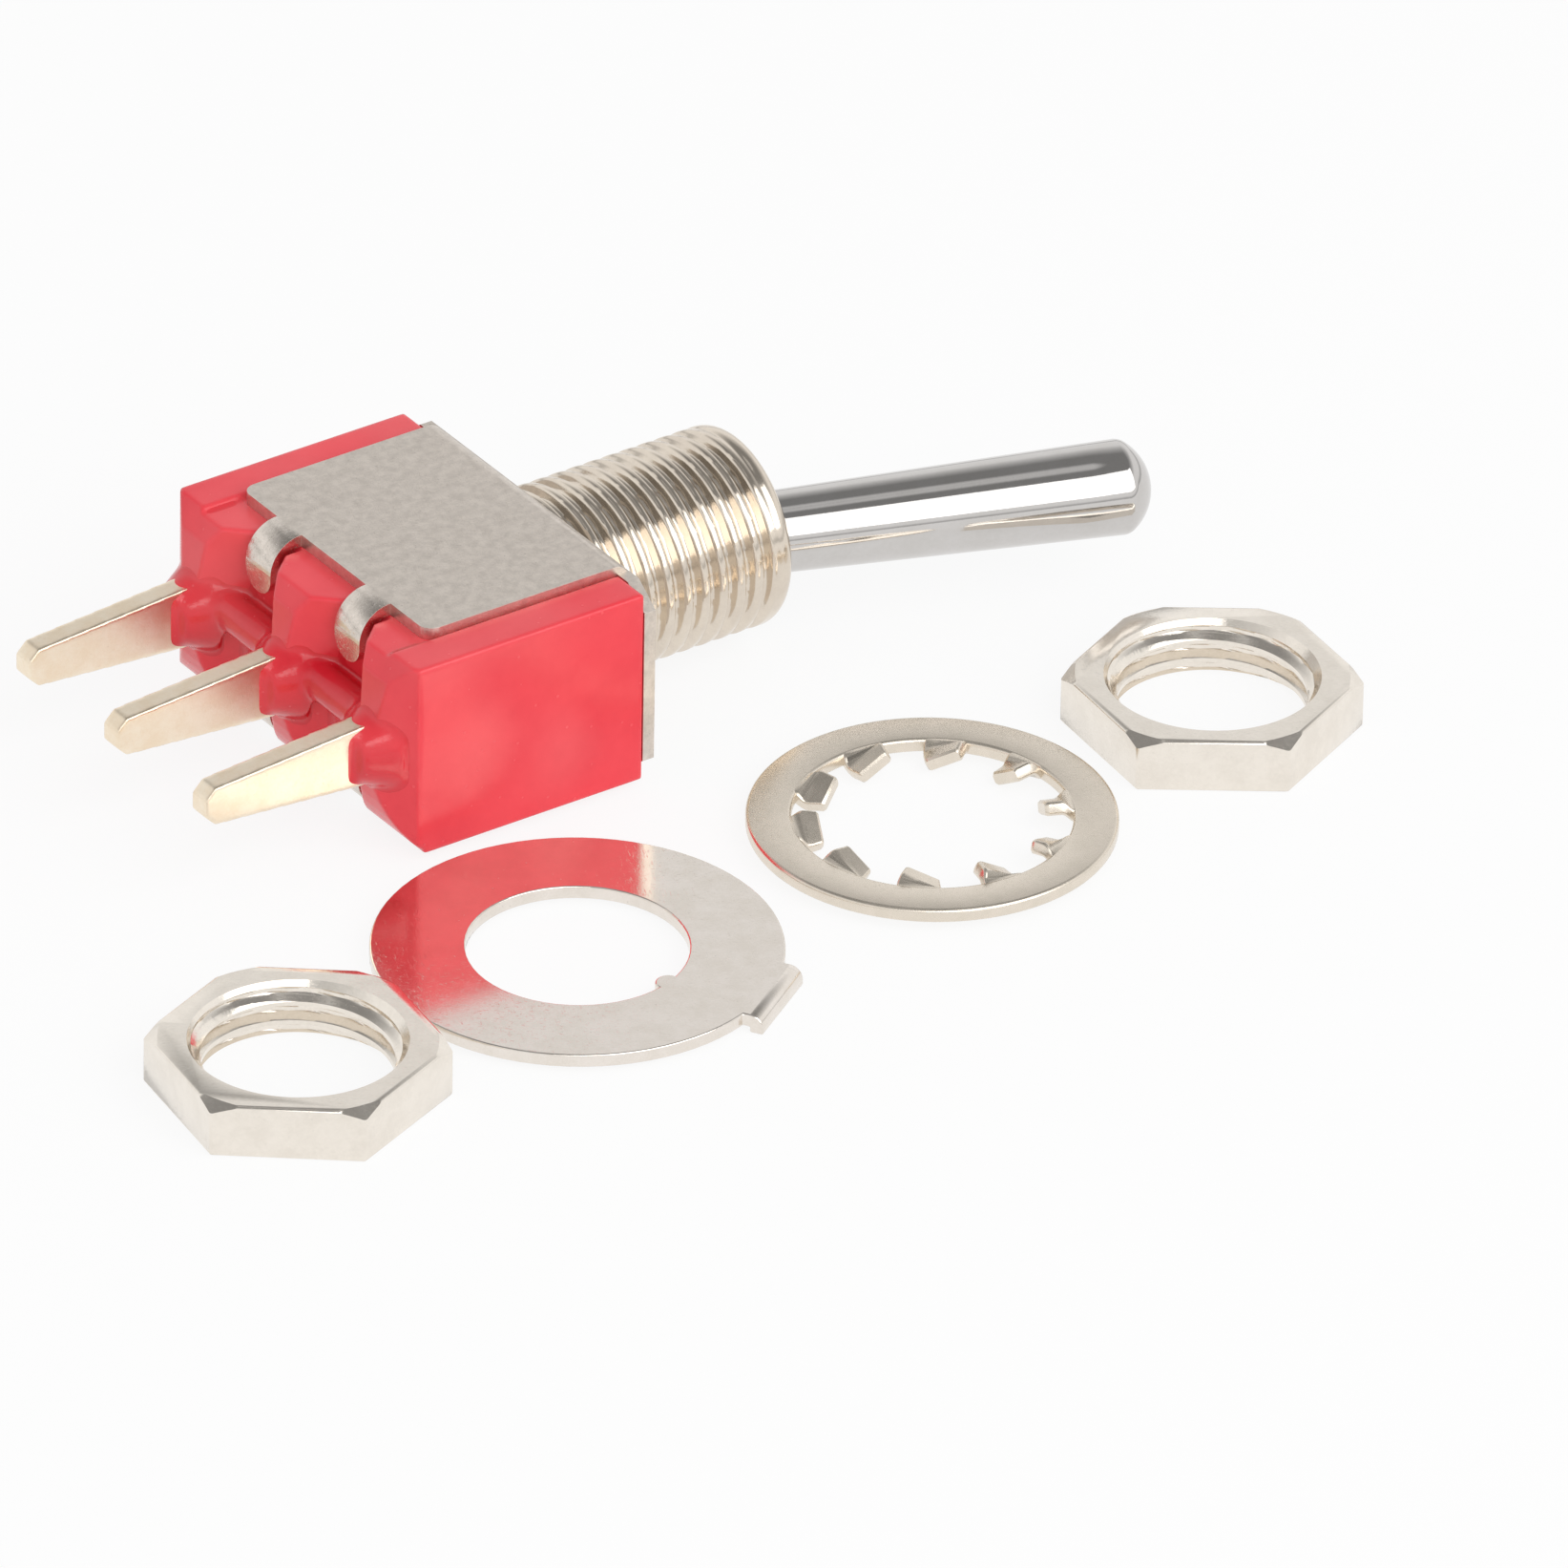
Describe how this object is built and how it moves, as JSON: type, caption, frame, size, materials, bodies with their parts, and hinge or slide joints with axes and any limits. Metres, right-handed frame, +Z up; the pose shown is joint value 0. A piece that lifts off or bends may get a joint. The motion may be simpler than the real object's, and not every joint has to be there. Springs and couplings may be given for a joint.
{
  "type": "panel toggle switch",
  "caption": "Sub-miniature panel toggle switch: red housing in a folded steel frame, threaded bushing, chrome lever, solder terminals, and its loose nuts and washers.",
  "frame": {"origin": "on the bushing's axis, in the frame plate's mounting face", "axes": "+X along the bushing towards the lever, terminal row along Y, +Z up out of the upper flap"},
  "size_m": [0.0422, 0.026, 0.0068],
  "materials": {
    "red_plastic": "glossy red moulding",
    "red_epoxy": "glossy red epoxy",
    "frame_steel": "satin steel sheet",
    "nickel": "nickel plate",
    "washer_nickel": "nickel plated sheet",
    "chrome": "chrome plate",
    "gold": "thin gold plate",
    "silver": "silver",
    "nylon": "natural nylon",
    "spring_steel": "drawn wire"
  },
  "bodies": {
    "switch_body": {"housing": "red_plastic", "frame": "frame_steel", "bushing": "nickel", "terminal_near": "gold", "terminal_centre": "gold", "terminal_far": "gold", "fixed_contact_near": "silver", "fixed_contact_far": "silver", "epoxy_seal": "red_epoxy", "nut_left": "nickel", "nut_right": "nickel", "lock_washer": "washer_nickel", "locating_washer": "washer_nickel"},
    "lever": {"lever": "chrome", "plunger_spring": "spring_steel"},
    "plunger": {"plunger": "nylon"},
    "rocker": {"rocker_contact": "silver"}
  },
  "joints": [
    {"name": "lever_toggle", "type": "hinge", "parent": "switch_body", "child": "lever", "pos_m": [0.0048, 0, 0], "axis": [0, 0, 1], "range_deg": [0, 38]},
    {"name": "plunger_slide", "type": "slide", "parent": "lever", "child": "plunger", "axis": [0.9455, -0.3256, 0], "range_m": [0, 0.0005], "stiffness_N_per_m": 200, "springref_m": -0.002, "deforming": ["plunger_spring"]},
    {"name": "rocker_tilt", "type": "hinge", "parent": "switch_body", "child": "rocker", "pos_m": [-0.00395, 0, 0], "axis": [0, 0, 1], "range_deg": [-12, 0]}
  ],
  "couplings": [
    {"joint": "rocker_tilt", "follows": "lever_toggle", "ratio": -0.31578}
  ]
}
